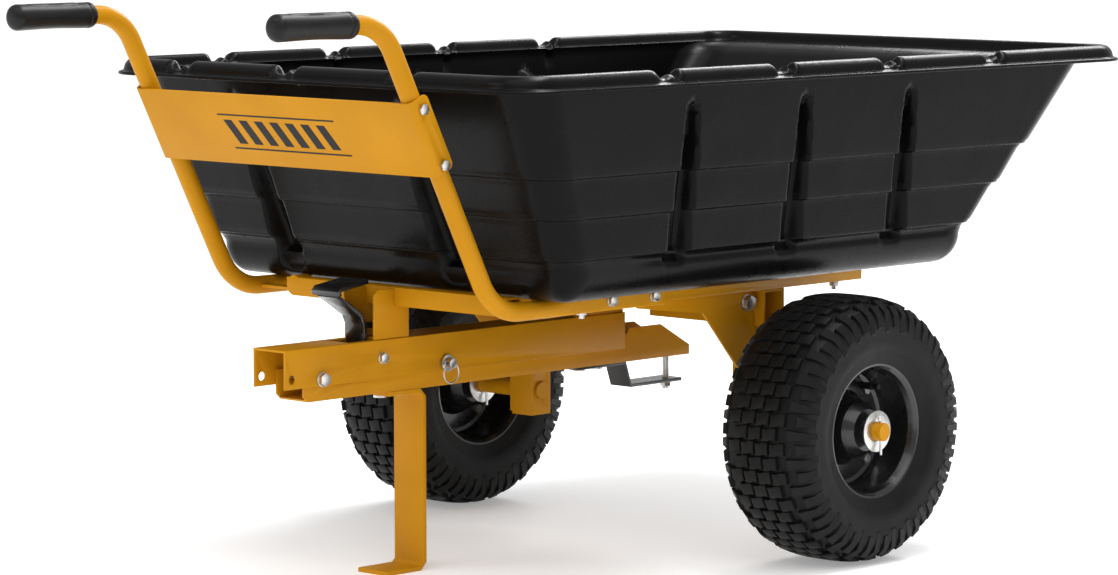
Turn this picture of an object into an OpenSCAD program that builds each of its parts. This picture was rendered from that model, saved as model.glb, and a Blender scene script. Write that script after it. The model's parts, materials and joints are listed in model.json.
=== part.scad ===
// Garden cart: a tipping tub on two wheels, pushed by its handles or towed by its fold-out drawbar.
// Millimetres. +Z up, -Y towards the handles, +X to the cart's left. Heights are from the ground.
// Lengths along Y are laid out from the wheel axle and then moved by axle_y, so that the
// origin is at the middle of the whole cart, on the ground.

/* [Tub] */
// Height of the tub's floor, on top of the rails
floor_z = 387; // [370:1:400]
// Height of the rim's skirt
rim_z = 668; // [650:1:690]
// Height of the rolled bead above the skirt
bead_h = 23; // [16:1:30]
// Half the width of the tub at its skirt
rim_x = 412; // [405:1:430]
// Front of the skirt, from the axle
rim_front = -660; // [-670:1:-640]
// Rear of the skirt, from the axle
rim_rear = 633; // [615:1:660]
// How far each ledge steps in
ledge = 7; // [3:1:10]
// Thickness of the tub's wall
tub_wall = 5; // [3:0.5:8]

/* [Frame] */
// Diameter of the handle tubes
tube_d = 25.4; // [22:0.1:30]
// Distance of each handle tube from the middle
tube_x = 253; // [245:1:258]
// Height of the grips' axis
grip_z = 757; // [700:1:800]
// Front end of the grips, from the axle
grip_front = -935; // [-960:1:-930]
// Length of a grip
grip_len = 137; // [120:1:142]
// Lean of the handle tubes from the vertical
handle_lean = 27.2; // [26:0.1:28]
// Height of a side rail
rail_h = 20; // [16:1:20]
// Rear end of the rails, from the axle
rail_rear = 188; // [150:1:220]

/* [Wheels] */
// Outer diameter of a tyre
tyre_d = 368; // [350:1:380]
// Width of a tyre
tyre_w = 152; // [130:1:160]
// Distance of each wheel's middle from the cart's middle
wheel_x = 380; // [372:1:390]
// Diameter of the stub axles
axle_d = 25.4; // [20:0.1:28]

/* [Drawbar] */
// Width of the sleeve over its walls
sleeve_w = 62; // [60:0.5:64]
// Height of the sleeve's top
sleeve_top = 322; // [321:0.5:322]
// Height of the sleeve's lower edges
sleeve_low = 270; // [266:1:271]
// Front end of the sleeve, from the axle
sleeve_front = -716; // [-730:1:-712]
// Rear end of the sleeve, from the axle
sleeve_rear = -63; // [-80:1:-60]
// Height of the drawbar's underside
bar_low = 250; // [248:1:252]
// Height of the drawbar's upper edges
bar_top = 290; // [280:1:291]
// Rear end of the stowed drawbar, from the axle
bar_rear = 77; // [60:1:80]
// Width of the stand leg
leg_w = 57; // [50:1:57]

/* [Hidden] */
$fn = 64;

yellow = "orange";
black = "dimgray";
zinc = "silver";

// The whole cart is centred on the origin along Y.
axle_y = -(grip_front + rim_rear) / 2;
axle_z = tyre_d / 2;
axle_r = axle_d / 2;
tube_r = tube_d / 2;
tube_wall = 1.8;
run_z = floor_z - 0.2 - tube_r;
steel = 3;

// Handle tube: the slope passes through this point between the grips and the bend.
slope_y = -698;
slope_z = 656;
top_bend_r = 68;
low_bend_r = 78;
turn = 90 - handle_lean;
flat_y = -400;
flat_end = -235;
flat_x0 = 258.3;
flat_x1 = 265.4;
squash_len = 30;

// Front plate of the handles
panel_mid = 614;
panel_h = 108;
panel_t = 2.5;
panel_x = tube_x + tube_r + panel_t;
panel_flange = 31;
panel_fold_r = 9;
panel_round_r = 8;
panel_gap = 0.5;
panel_bolt_up = [-44, 38];

// Side rails and the bolts in them
rail_x0 = 240;
rail_x1 = 258;
rail_top = floor_z;
rail_low = rail_top - rail_h;
rail_front = -396;
rail_bolt_y = [-342, -258];
tub_bolt_y = [-382, 138];

// Cross-member under the front of the tub
cross_y0 = -515;
cross_y1 = -488;
cross_z0 = 366;
cross_z1 = 391;
cross_x = 185;

// Latch bracket on the cross-member
latch_x = 29;
latch_y0 = -553;
latch_base_z = sleeve_top + 0.4;
striker_y = -500;
striker_z = 338;
striker_r = 5;
hook_slot = 9;

// Axle beam and brackets
beam_x = 258;
beam_y0 = -24;
beam_y1 = 20;
beam_z0 = 315;
beam_notch = 42;
beam_t = 4;
post_x0 = 197;
post_x1 = 237;
post_low = 148;
post_half = 20;
gusset_t = 4;
pivot_y = -41;
pivot_z = 349;
pivot_r = 6;
fit = 0.08;

// Axle ends
axle_end_x = 457;
hub_half = 61;
washer_r = 28.5;
washer_t = 2.5;
cotter_r = 2;
outer_cotter_x = wheel_x + hub_half + 9;
inner_cotter_x = wheel_x - hub_half - 9;

// Pivot beam across the drawbar sleeve
cross_beam_x = 235;
cross_beam_y0 = -130;
cross_beam_y1 = -92;
cross_beam_z0 = 349;
cross_beam_z1 = 363;
lug_t = 6;
lug_r = 14;
beam_bolt_y = [-150, -76];

// Drawbar and sleeve
sleeve_x = sleeve_w / 2;
bar_x = sleeve_x - steel - 0.5;
bar_front = -680;
bar_corner = 8;
fold_y = -650;
fold_z = 279;
fold_r = 6;
tow_hole = [-53, 4];
lock_y = -420;
lock_z = 281;
lock_r = 6;
lock_fit = 0.1;
lever_y = -540;
lever_z = 298;
lever_r = 4;
lever_w = 36;
slot_front = -592;
slot_rear = -550;

// Hitch
hitch_y = 57;
hitch_r = 5;
hitch_plate_z = 211;
hitch_t = 5;
hitch_x = 20;
hitch_screw_y = [-125, -90];

// Stand leg
leg_y = -459;
leg_t = 6;
leg_reach = 72;
leg_bolt_y = [-515, -485];

// Tyre and rim sections
tyre_mid_r = 135;
rim_t = 2.6;
flange_r = 93;
rim_bolt_r = 68;

// ---- Helpers ----

module placed() {
    translate([0, axle_y, 0]) children();
}

// Both sides: as drawn at +X, and mirrored
module both_sides() {
    children();
    mirror([1, 0, 0]) children();
}

// One side: +1 as drawn, -1 mirrored
module on_side(side) {
    if (side > 0) children();
    else mirror([1, 0, 0]) children();
}

// Round bar along X between two places
module x_bar(r, x0, x1, y, z) {
    translate([x0, y, z]) rotate([0, 90, 0]) cylinder(h = x1 - x0, r = r);
}

// Round bar along Z between two heights
module z_bar(r, z0, z1, x, y) {
    translate([x, y, z0]) cylinder(h = z1 - z0, r = r);
}

// Box from one corner to the other
module block(a, b) {
    translate(a) cube(b - a);
}

// Extrudes an outline drawn as (y, z) along X
module side_plate(x0, x1) {
    translate([x0, 0, 0]) rotate([90, 0, 90]) linear_extrude(x1 - x0) children();
}

// Turns a section drawn as (radius, x) about the axle line
module about_x(x, y, z) {
    translate([x, y, z]) rotate([0, 90, 0]) rotate_extrude($fn = 96) children();
}

// Hexagonal head on X, from x0 to x1
module x_hex(across, x0, x1, y, z) {
    translate([x0, y, z]) rotate([0, 90, 0]) cylinder(h = x1 - x0, r = across / sqrt(3), $fn = 6);
}

// Hexagonal head on Z
module z_hex(across, z0, z1, x, y) {
    translate([x, y, z0]) cylinder(h = z1 - z0, r = across / sqrt(3), $fn = 6);
}

function unit(v) = v / norm(v);

function side_dir(p, i) = let (
        a = p[max(i - 1, 0)],
        b = p[min(i + 1, len(p) - 1)],
        d = unit(b - a)
    ) [-d[1], d[0]];

// Outline of a bent strip of thickness t along a centre line
function strip(p, t) = concat(
    [for (i = [0:len(p) - 1]) p[i] + side_dir(p, i) * t / 2],
    [for (i = [len(p) - 1:-1:0]) p[i] - side_dir(p, i) * t / 2]);

// ---- Tub ----

corner_steps = 6;

// One level of the tub: height, half width, front, rear and corner radius
function ring(z, x, y0, y1, r) = [
    for (q = [0:3], k = [0:corner_steps])
        let (
            a = q * 90 + k * 90 / corner_steps,
            cx = (q == 0 || q == 3) ? x - r : r - x,
            cy = (q < 2) ? y1 - r : y0 + r
        ) [cx + r * cos(a), cy + r * sin(a), z]];

// A level moved inwards all round
function inward(z, d, x, y0, y1, r) = ring(z, x - d, y0 + d, y1 - d, max(r - d, 10));

// Wall levels from the floor's bend up: height, half width, front, rear, corner radius
bend_r = 44;
front_bend = 34;
rim_r = 72;
wall = [
    [floor_z + bend_r, 345, -506, 325, 40],
    [445, 348, -515, 329, 40],
    [445, 348 + ledge, -515 - ledge, 329 + ledge, 44],
    [500, 357, -540, 386, 42],
    [500, 357 + ledge, -540 - ledge, 386 + ledge, 46],
    [554, 367, -567, 441, 46],
    [554, 367 + ledge, -567 - ledge, 441 + ledge, 50],
    [rim_z, 382, -618, 562, 60]];

// The floor's rounded edge, tighter at the front
function floor_bend(extra) = [
    for (a = [0:22.5:67.5])
        let (
            w = wall[0],
            up = bend_r - extra,
            d = extra + up * (1 - sin(a)),
            front_d = extra + (front_bend - extra) * (1 - sin(a))
        ) ring(floor_z + extra + up * (1 - cos(a)), w[1] - d, w[2] + front_d, w[3] - d, max(w[4] - d, 10))];

// Rim section from the wall outwards and over: height, inward shift from the skirt
skirt = [
    [rim_z, 0],
    [rim_z + 4, 1],
    [rim_z + 6, 7],
    [rim_z + 14, 9],
    [rim_z + 20, 14],
    [rim_z + bead_h, 22],
    [rim_z + 20, 30],
    [rim_z + 8, 34]];

outside = concat(
    floor_bend(0),
    [for (w = wall) ring(w[0], w[1], w[2], w[3], w[4])]);

rim = [for (s = skirt) inward(s[0], s[1], rim_x, rim_front, rim_rear, rim_r)];

inside = concat(
    [for (i = [len(wall) - 1:-1:0])
        let (w = wall[i]) inward(w[0] + (i == 0 ? 0 : 1), tub_wall, w[1], w[2], w[3], w[4])],
    [for (i = [3:-1:0]) floor_bend(tub_wall)[i]]);

module tub() {
    rings = concat(outside, rim, inside);
    n = 4 * (corner_steps + 1);
    last = len(rings) - 1;
    points = [for (r = rings) each r];
    faces = concat(
        [[for (i = [0:n - 1]) i]],
        [for (j = [0:last - 1], i = [0:n - 1])
            [j * n + (i + 1) % n, j * n + i, (j + 1) * n + i, (j + 1) * n + (i + 1) % n]],
        [[for (i = [n - 1:-1:0]) last * n + i]]);
    color(black) placed() polyhedron(points = points, faces = faces, convexity = 8);
}

// ---- Handles ----

slope_dir = [sin(handle_lean), -cos(handle_lean)];
top_corner = [slope_y - (grip_z - slope_z) * tan(handle_lean), grip_z];
low_corner = [slope_y + (slope_z - run_z) * tan(handle_lean), run_z];
top_tangent = top_bend_r * tan(turn / 2);
low_tangent = low_bend_r * tan(turn / 2);

// Solid bar between two (y, z) points
module straight(r, p, q) {
    d = q - p;
    translate([0, p[0], p[1]]) rotate([atan2(-d[0], d[1]), 0, 0]) cylinder(h = norm(d), r = r);
}

// Tube between two (y, z) points, its ends lapped into the bends
module pipe(p, q) {
    lap = 1;
    d = q - p;
    translate([0, p[0], p[1]]) rotate([atan2(-d[0], d[1]), 0, 0]) translate([0, 0, -lap]) difference() {
        cylinder(h = norm(d) + 2 * lap, r = tube_r);
        translate([0, 0, -lap]) cylinder(h = norm(d) + 4 * lap, r = tube_r - tube_wall);
    }
}

// Bent tube about a (y, z) centre, a hair thicker both ways than the straight tube
module pipe_bend(c, bend_radius, from) {
    swell = 0.05;
    translate([0, c[0], c[1]]) rotate([90, 0, 90]) rotate([0, 0, from])
        rotate_extrude(angle = turn) translate([bend_radius, 0]) difference() {
            circle(tube_r + swell);
            circle(tube_r - tube_wall - swell);
        }
}

// The tube from its front end to the start of its flattened end
module handle_line() {
    pipe([grip_front + 9, grip_z], [top_corner[0] - top_tangent, grip_z]);
    pipe_bend([top_corner[0] - top_tangent, grip_z - top_bend_r], top_bend_r, handle_lean);
    pipe(top_corner + slope_dir * top_tangent, low_corner - slope_dir * low_tangent);
    pipe_bend([low_corner[0] + low_tangent, run_z + low_bend_r], low_bend_r, 180 + handle_lean);
    pipe([low_corner[0] + low_tangent, run_z], [flat_y, run_z]);
}

module handle_tube(side) {
    color(yellow) placed() on_side(side) difference() {
        union() {
            translate([tube_x, 0, 0]) handle_line();
            block([flat_x0, flat_y - squash_len, rail_low - 3], [flat_x1, flat_end, rail_top]);
        }
        for (y = rail_bolt_y) x_bar(4, flat_x0 - 1, flat_x1 + 1, y, (rail_low + rail_top) / 2);
        panel_bolt_shanks();
    }
}

module grip(side) {
    grip_r = 17.5;
    end_t = 8;
    round_r = 7;
    color(black) placed() on_side(side) translate([tube_x, grip_front, grip_z]) rotate([-90, 0, 0])
        rotate_extrude() difference() {
            union() {
                square([grip_r - round_r, grip_len]);
                translate([0, round_r]) square([grip_r, grip_len - 2 * round_r]);
                translate([grip_r - round_r, round_r]) circle(round_r, $fn = 32);
                translate([grip_r - round_r, grip_len - round_r]) circle(round_r, $fn = 32);
            }
            translate([0, end_t]) square([tube_r, grip_len]);
            translate([-grip_r, 0]) square([grip_r, grip_len]);
        }
}

// Puts its children on the handle's slope: Z up the slope, -Y out to the front, at the panel's middle
module on_slope() {
    mid_y = slope_y + (slope_z - panel_mid) * tan(handle_lean);
    translate([0, mid_y, panel_mid]) rotate([handle_lean, 0, 0]) children();
}

module panel_bolt_shanks() {
    on_slope() for (up = panel_bolt_up)
        x_bar(4, tube_x - tube_r - 3, panel_x, 0, up);
}

// Wide U with rounded folds, drawn square to the slope, open to the back
module panel_section(half, front, fold_r) {
    both_sides() {
        translate([half - fold_r, front + fold_r]) circle(fold_r);
        translate([0, front]) square([half - fold_r, fold_r]);
        translate([0, front + fold_r]) square([half, panel_flange]);
    }
}

// Side view of the flanges, their free corners rounded
module flange_outline(front) {
    back = front + panel_flange;
    translate([front, -panel_h / 2]) square([panel_flange - panel_round_r, panel_h]);
    translate([front, panel_round_r - panel_h / 2]) square([panel_flange, panel_h - 2 * panel_round_r]);
    for (up = [-1, 1])
        translate([back - panel_round_r, up * (panel_h / 2 - panel_round_r)]) circle(panel_round_r);
}

module handle_panel() {
    front = -tube_r - panel_gap - panel_t;
    color(yellow) placed() difference() {
        on_slope() difference() {
            intersection() {
                translate([0, 0, -panel_h / 2]) linear_extrude(panel_h)
                    panel_section(panel_x, front, panel_fold_r);
                side_plate(-panel_x - 1, panel_x + 1) flange_outline(front);
            }
            translate([0, 0, -panel_h]) linear_extrude(2 * panel_h)
                panel_section(panel_x - panel_t, front + panel_t, panel_fold_r - panel_t);
        }
        both_sides() panel_bolt_shanks();
    }
}

module panel_bolts() {
    color(zinc) placed() both_sides() {
        panel_bolt_shanks();
        on_slope() for (up = panel_bolt_up) x_hex(13, panel_x, panel_x + 5.5, 0, up);
    }
}

// ---- Bed frame ----

module side_rail(side) {
    color(yellow) placed() on_side(side) difference() {
        block([rail_x0, rail_front, rail_low], [rail_x1, rail_rear, rail_top]);
        block([rail_x0 + 2, rail_front - 1, rail_low + 2], [rail_x1 - 2, rail_rear + 1, rail_top - 2]);
        for (y = rail_bolt_y) x_bar(4, rail_x0 - 1, rail_x1 + 1, y, (rail_low + rail_top) / 2);
        for (y = tub_bolt_y) z_bar(4, rail_low - 1, rail_top + 1, (rail_x0 + rail_x1) / 2, y);
    }
}

module rail_bolts() {
    mid_z = (rail_low + rail_top) / 2;
    color(zinc) placed() both_sides() for (y = rail_bolt_y) {
        x_bar(4, rail_x0 - 10, flat_x1, y, mid_z);
        x_bar(8, flat_x1, flat_x1 + 1.6, y, mid_z);
        x_hex(13, flat_x1 + 1.6, flat_x1 + 7, y, mid_z);
        x_hex(13, rail_x0 - 7, rail_x0, y, mid_z);
    }
}

module tub_bolts() {
    mid_x = (rail_x0 + rail_x1) / 2;
    color(zinc) placed() both_sides() for (y = tub_bolt_y) {
        z_bar(4, rail_low - 12, floor_z, mid_x, y);
        z_bar(10, floor_z + tub_wall, floor_z + tub_wall + 2.5, mid_x, y);
        z_hex(13, rail_low - 7, rail_low, mid_x, y);
    }
}

// Box member from the left tube to short of the right one, on a flat tab to each tube
module front_cross_member() {
    corner_r = 14;
    tab_t = 4;
    near_x = tube_x - tube_r - 0.5;
    color(yellow) placed() difference() {
        union() {
            difference() {
                union() {
                    block([corner_r - cross_x, cross_y0, cross_z0], [near_x, cross_y1, cross_z1]);
                    block([-cross_x, cross_y0, cross_z0 + corner_r], [0, cross_y1, cross_z1]);
                    translate([corner_r - cross_x, cross_y1, cross_z0 + corner_r]) rotate([90, 0, 0])
                        cylinder(h = cross_y1 - cross_y0, r = corner_r);
                }
                block([-cross_x - 1, cross_y0 + steel, cross_z0 + steel],
                    [near_x + 1, cross_y1 - steel, cross_z1 - steel]);
            }
            both_sides() block([cross_x - 30, cross_y0 + steel, run_z - tab_t / 2],
                [tube_x - tube_r + 1, cross_y1 - steel, run_z + tab_t / 2]);
        }
        both_sides() translate([tube_x, 0, 0]) straight(tube_r, [-600, run_z], [-450, run_z]);
    }
}

module latch_bracket() {
    near_flange = [
        [latch_y0, latch_base_z], [latch_y0, cross_z1 - 8], [latch_y0 + 8, cross_z1 - 1],
        [cross_y0, cross_z1 - 1], [cross_y0, cross_z0], [cross_y1, cross_z0], [cross_y1, latch_base_z]];
    far_flange = [
        [latch_y0, latch_base_z], [latch_y0, 366], [latch_y0 - 3, 381], [latch_y0 - 3, cross_z1 - 1],
        [cross_y0, cross_z1 - 1], [cross_y0, cross_z0], [cross_y1, cross_z0], [cross_y1, latch_base_z]];
    color(yellow) placed() difference() {
        union() {
            side_plate(latch_x - steel, latch_x) polygon(near_flange);
            side_plate(-latch_x, steel - latch_x) polygon(far_flange);
            block([-latch_x, latch_y0 + 5, latch_base_z], [latch_x, cross_y1, latch_base_z + steel]);
        }
        block([-hook_slot, latch_y0, latch_base_z - 1], [hook_slot, striker_y - 3, latch_base_z + steel + 1]);
    }
}

module striker_pin() {
    color(zinc) placed() x_bar(striker_r, steel - latch_x, latch_x - steel, striker_y, striker_z);
}

module axle_beam() {
    color(yellow) placed() difference() {
        block([-beam_x, beam_y0, beam_z0], [beam_x, beam_y1, rail_low]);
        block([-beam_x - 1, beam_y0 + beam_t, beam_z0 - 1],
            [beam_x + 1, beam_y1 - beam_t, rail_low - beam_t]);
        block([-beam_notch, beam_y0 - 1, beam_z0 - 1], [beam_notch, beam_y1 + 1, rail_low - beam_t]);
    }
}

// Post under each end of the axle beam, and a plate beside it with a nose under the rail
module axle_bracket(side) {
    nose_y = -262;
    gusset = [
        [cross_beam_y0, 341], [nose_y, 358], [nose_y, rail_low - 0.5], [beam_y0, rail_low - 0.5],
        [beam_y0, beam_z0], [post_half, beam_z0], [post_half, post_low + 4], [-post_half, post_low + 4],
        [-post_half, 217]];
    color(yellow) placed() on_side(side) difference() {
        union() {
            difference() {
                block([post_x0, -post_half, post_low], [post_x1, post_half, beam_z0]);
                block([post_x0 + steel, steel - post_half, post_low + steel],
                    [post_x1 - steel, post_half - steel, beam_z0 + 1]);
            }
            side_plate(post_x1, post_x1 + gusset_t) polygon(gusset);
        }
        x_bar(axle_r, post_x0 - 1, post_x1 + gusset_t + 1, 0, axle_z);
        x_bar(pivot_r, post_x1 - 1, post_x1 + gusset_t + 1, pivot_y, pivot_z);
    }
}

module stub_axle(side) {
    chamfer = 1.5;
    color(yellow) placed() on_side(side) difference() {
        union() {
            x_bar(axle_r, post_x0 - 4, axle_end_x - chamfer, 0, axle_z);
            x_bar(axle_r - chamfer, axle_end_x - chamfer, axle_end_x, 0, axle_z);
        }
        for (x = [inner_cotter_x, outer_cotter_x]) z_bar(cotter_r, axle_z - 20, axle_z + 20, x, 0);
    }
}

module axle_washers() {
    gap = 0.4;
    color(zinc) placed() both_sides() for (s = [-1, 1]) {
        x0 = wheel_x + s * (hub_half + gap + washer_t / 2) - washer_t / 2;
        difference() {
            x_bar(washer_r, x0, x0 + washer_t, 0, axle_z);
            x_bar(axle_r, x0 - 1, x0 + washer_t + 1, 0, axle_z);
        }
    }
}

module cotter_pins() {
    loop_r = 4;
    color(zinc) placed() both_sides() for (x = [inner_cotter_x, outer_cotter_x]) {
        z_bar(cotter_r, axle_z - 32, axle_z + axle_r + 1, x, 0);
        translate([x, 0, axle_z + axle_r + loop_r + 1]) rotate([0, 90, 0])
            rotate_extrude() translate([loop_r, 0]) circle(1.2, $fn = 16);
    }
}

module pivot_bolts() {
    lug_in = cross_beam_x - lug_t;
    outer = post_x1 + gusset_t;
    color(zinc) placed() both_sides() {
        x_bar(pivot_r, lug_in - 10, outer, pivot_y, pivot_z);
        x_bar(12, outer, outer + 2, pivot_y, pivot_z);
        x_hex(19, outer + 2, outer + 10, pivot_y, pivot_z);
        x_hex(19, lug_in - 8, lug_in - 0.5, pivot_y, pivot_z);
    }
}

// ---- Drawbar frame ----

module sleeve_holes() {
    x_bar(fold_r, -sleeve_x - 1, sleeve_x + 1, fold_y, fold_z);
    x_bar(lock_r + lock_fit, -sleeve_x - 1, sleeve_x + 1, fold_y + tow_hole[0], fold_z + tow_hole[1]);
    x_bar(lock_r + lock_fit, -sleeve_x - 1, sleeve_x + 1, lock_y, lock_z);
    x_bar(lever_r, -sleeve_x - 1, sleeve_x + 1, lever_y, lever_z);
}

module drawbar_sleeve() {
    color(yellow) placed() difference() {
        block([-sleeve_x, sleeve_front, sleeve_low], [sleeve_x, sleeve_rear, sleeve_top]);
        block([steel - sleeve_x, sleeve_front - 1, sleeve_low - 1],
            [sleeve_x - steel, sleeve_rear + 1, sleeve_top - steel]);
        block([-lever_w / 2 - 2, slot_front, sleeve_top - 10], [lever_w / 2 + 2, slot_rear, sleeve_top + 1]);
        for (y = beam_bolt_y) z_bar(4, sleeve_top - 10, sleeve_top + 1, 0, y);
        sleeve_holes();
    }
}

module pivot_beam() {
    saddle_x = 28;
    saddle_t = 4;
    lug = [[cross_beam_y1 - 2, cross_beam_z0], [cross_beam_y1 - 2, cross_beam_z1], [pivot_y, cross_beam_z1],
        [pivot_y, pivot_z - lug_r]];
    color(yellow) placed() difference() {
        union() {
            difference() {
                block([-cross_beam_x, cross_beam_y0, cross_beam_z0],
                    [cross_beam_x, cross_beam_y1, cross_beam_z1]);
                block([-cross_beam_x - 1, cross_beam_y0 + steel, cross_beam_z0 - 1],
                    [cross_beam_x + 1, cross_beam_y1 - steel, cross_beam_z1 - steel]);
            }
            block([-saddle_x, cross_beam_y0, sleeve_top], [saddle_x, cross_beam_y1, cross_beam_z0 + 4]);
            block([-saddle_x, beam_bolt_y[0] - 14, sleeve_top],
                [saddle_x, beam_bolt_y[1] + 12, sleeve_top + saddle_t]);
            both_sides() {
                side_plate(cross_beam_x - lug_t, cross_beam_x) polygon(lug);
                x_bar(lug_r, cross_beam_x - lug_t, cross_beam_x, pivot_y, pivot_z);
            }
        }
        both_sides() x_bar(pivot_r + fit, cross_beam_x - lug_t - 1, cross_beam_x + 1, pivot_y, pivot_z);
        for (y = beam_bolt_y) z_bar(4, sleeve_top - 1, sleeve_top + saddle_t + 1, 0, y);
    }
}

module beam_bolts() {
    head_z = sleeve_top + 4;
    color(zinc) placed() for (y = beam_bolt_y) {
        z_bar(4, sleeve_top - steel - 1, head_z + 9, 0, y);
        z_bar(9, sleeve_top - steel - 3.5, sleeve_top - steel, 0, y);
        z_hex(13, head_z, head_z + 6.5, 0, y);
    }
}

module latch_lever() {
    pedal_w = 52;
    plate = 6;
    hook_x = 8;
    shank = [[lever_y - 4, lever_z + 2], [-558, 322], [-559, 342], [-565, 356], [-585, 370],
        [-611, 386]];
    pedal = [[-611, 386], [-613, 391], [-609, 394.5], [-560, 402]];
    hook = [[-560, 336], [-560, 344], [-528, 344], [striker_y - striker_r - 1, 334], [-512, 332],
        [-530, 336]];
    color("black") placed() difference() {
        union() {
            side_plate(-lever_w / 2, lever_w / 2) polygon(strip(shank, plate));
            side_plate(-pedal_w / 2, pedal_w / 2) polygon(strip(pedal, plate));
            side_plate(-hook_x / 2, hook_x / 2) polygon(hook);
            x_bar(9, -lever_w / 2, lever_w / 2, lever_y, lever_z);
        }
        x_bar(lever_r + fit, -lever_w, lever_w, lever_y, lever_z);
    }
}

module lever_bolt() {
    color(zinc) placed() {
        x_bar(lever_r, -sleeve_x - 8, sleeve_x, lever_y, lever_z);
        x_bar(8, sleeve_x, sleeve_x + 1.6, lever_y, lever_z);
        x_hex(13, sleeve_x + 1.6, sleeve_x + 6.5, lever_y, lever_z);
        x_hex(13, -sleeve_x - 6.5, -sleeve_x, lever_y, lever_z);
    }
}

// Torsion spring beside the lever's barrel, its tail under the sleeve's top
module lever_spring() {
    wire_r = 0.9;
    coil_r = 6.2;
    x0 = lever_w / 2 + 2.4;
    color(zinc) placed() {
        for (i = [0:2]) translate([x0 + i * 2, lever_y, lever_z]) rotate([0, 90, 0])
            rotate_extrude($fn = 32) translate([coil_r, 0]) circle(wire_r, $fn = 13);
        translate([x0 + 4, lever_y, lever_z + coil_r]) rotate([-80, 0, 0])
            cylinder(h = 38, r = wire_r, $fn = 13);
    }
}

module fold_bolt() {
    color(zinc) placed() {
        x_bar(fold_r, -sleeve_x - 12, sleeve_x, fold_y, fold_z);
        x_bar(10, sleeve_x, sleeve_x + 2, fold_y, fold_z);
        x_hex(16, sleeve_x + 2, sleeve_x + 8, fold_y, fold_z);
        x_hex(16, -sleeve_x - 9, -sleeve_x, fold_y, fold_z);
    }
}

// The pin's head, and the hole through it for the ring
head_x = sleeve_x + 0.6;
ring_x = head_x + 9;
ring_hole_r = 3;

module lock_pin() {
    color(zinc) placed() difference() {
        union() {
            x_bar(lock_r, -sleeve_x - 9, head_x, lock_y, lock_z);
            x_bar(11.5, head_x, head_x + 4, lock_y, lock_z);
            x_bar(7, head_x + 4, head_x + 14, lock_y, lock_z);
        }
        translate([ring_x, lock_y - 12, lock_z]) rotate([-90, 0, 0]) cylinder(h = 24, r = ring_hole_r);
    }
}

// Pull ring through the pin's head
module lock_ring() {
    ring_r = 14;
    wire_r = 1.1;
    color(zinc) placed() translate([ring_x, lock_y, lock_z + 1 - ring_r]) rotate([0, 90, 0])
        rotate_extrude() translate([ring_r, 0]) circle(wire_r, $fn = 16);
}

module drawbar() {
    hump_z = bar_top + 8;
    side = [
        [bar_front, bar_low + bar_corner], [bar_front + bar_corner, bar_low], [bar_rear, bar_low],
        [bar_rear, bar_low + 14], [16, hump_z], [sleeve_rear + 12, hump_z], [sleeve_rear + 8, bar_top],
        [bar_front, bar_top]];
    lock_slot = bar_top + 1;
    color(yellow) placed() difference() {
        side_plate(-bar_x, bar_x) polygon(side);
        block([steel - bar_x, bar_front - 1, bar_low + steel], [bar_x - steel, bar_rear + 1, hump_z + 1]);
        x_bar(fold_r + fit, -bar_x - 1, bar_x + 1, fold_y, fold_z);
        x_bar(lock_r + lock_fit, -bar_x - 1, bar_x + 1, fold_y - tow_hole[0], fold_z - tow_hole[1]);
        block([-bar_x - 1, lock_y - lock_r - 5, lock_z - lock_r - 0.6],
            [bar_x + 1, lock_y + lock_r + 3, lock_slot]);
        z_bar(hitch_r, bar_low - 1, bar_low + steel + 1, 0, hitch_y);
        for (y = hitch_screw_y) z_bar(4, bar_low - 1, bar_low + steel + 1, 0, y);
        for (y = leg_bolt_y) z_bar(4, bar_low - 1, bar_low + steel + 1, 0, y);
    }
}

// Cranked strip under the drawbar's end: the tow vehicle's plate goes in the gap
module hitch_bracket() {
    top_z = bar_low - hitch_t / 2;
    low_z = hitch_plate_z + hitch_t / 2;
    line = [[-150, top_z], [-50, top_z], [-38, low_z], [69, low_z]];
    color("black") placed() difference() {
        side_plate(-hitch_x, hitch_x) polygon(strip(line, hitch_t));
        z_bar(hitch_r, hitch_plate_z - 3, hitch_plate_z + hitch_t + 3, 0, hitch_y);
        for (y = hitch_screw_y) z_bar(4, bar_low - 12, bar_low + 3, 0, y);
    }
}

module hitch_screws() {
    color(zinc) placed() for (y = hitch_screw_y) {
        z_bar(4, bar_low - hitch_t, bar_low + steel + 8, 0, y);
        z_bar(9, bar_low - hitch_t - 4, bar_low - hitch_t, 0, y);
        z_hex(13, bar_low + steel, bar_low + steel + 6, 0, y);
    }
}

module hitch_pin() {
    color(zinc) placed() {
        z_bar(hitch_r, hitch_plate_z - 12, bar_low + steel, 0, hitch_y);
        z_hex(15, bar_low + steel, bar_low + steel + 6, 0, hitch_y);
        z_hex(15, hitch_plate_z - 8, hitch_plate_z, 0, hitch_y);
    }
}

module stand_leg() {
    half = leg_w / 2;
    top = bar_low;
    line = [
        [leg_y - leg_reach + leg_t, top - leg_t / 2], [leg_y - 8, top - leg_t / 2],
        [leg_y, top - leg_t / 2 - 8],
        [leg_y, leg_t / 2 + 8], [leg_y - 8, leg_t / 2], [leg_y - leg_reach, leg_t / 2]];
    color(yellow) placed() difference() {
        side_plate(-half, half) polygon(strip(line, leg_t));
        for (y = leg_bolt_y) z_bar(4, top - leg_t - 1, top + 1, 0, y);
    }
}

module leg_bolts() {
    color(zinc) placed() for (y = leg_bolt_y) {
        z_bar(4, bar_low - leg_t, bar_low + steel + 8, 0, y);
        z_bar(9, bar_low - leg_t - 4, bar_low - leg_t, 0, y);
        z_hex(13, bar_low + steel, bar_low + steel + 6, 0, y);
    }
}

// ---- Wheels ----

// Rounded box outline of the tyre's section, half height h and half width w about the middle radius
function tyre_section(h, w) = [
    for (k = [0:39])
        let (
            a = k * 9,
            c = cos(a),
            s = sin(a),
            e = 0.62
        ) [tyre_mid_r + h * sign(c) * pow(abs(c), e), w * sign(s) * pow(abs(s), e)]];

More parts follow.
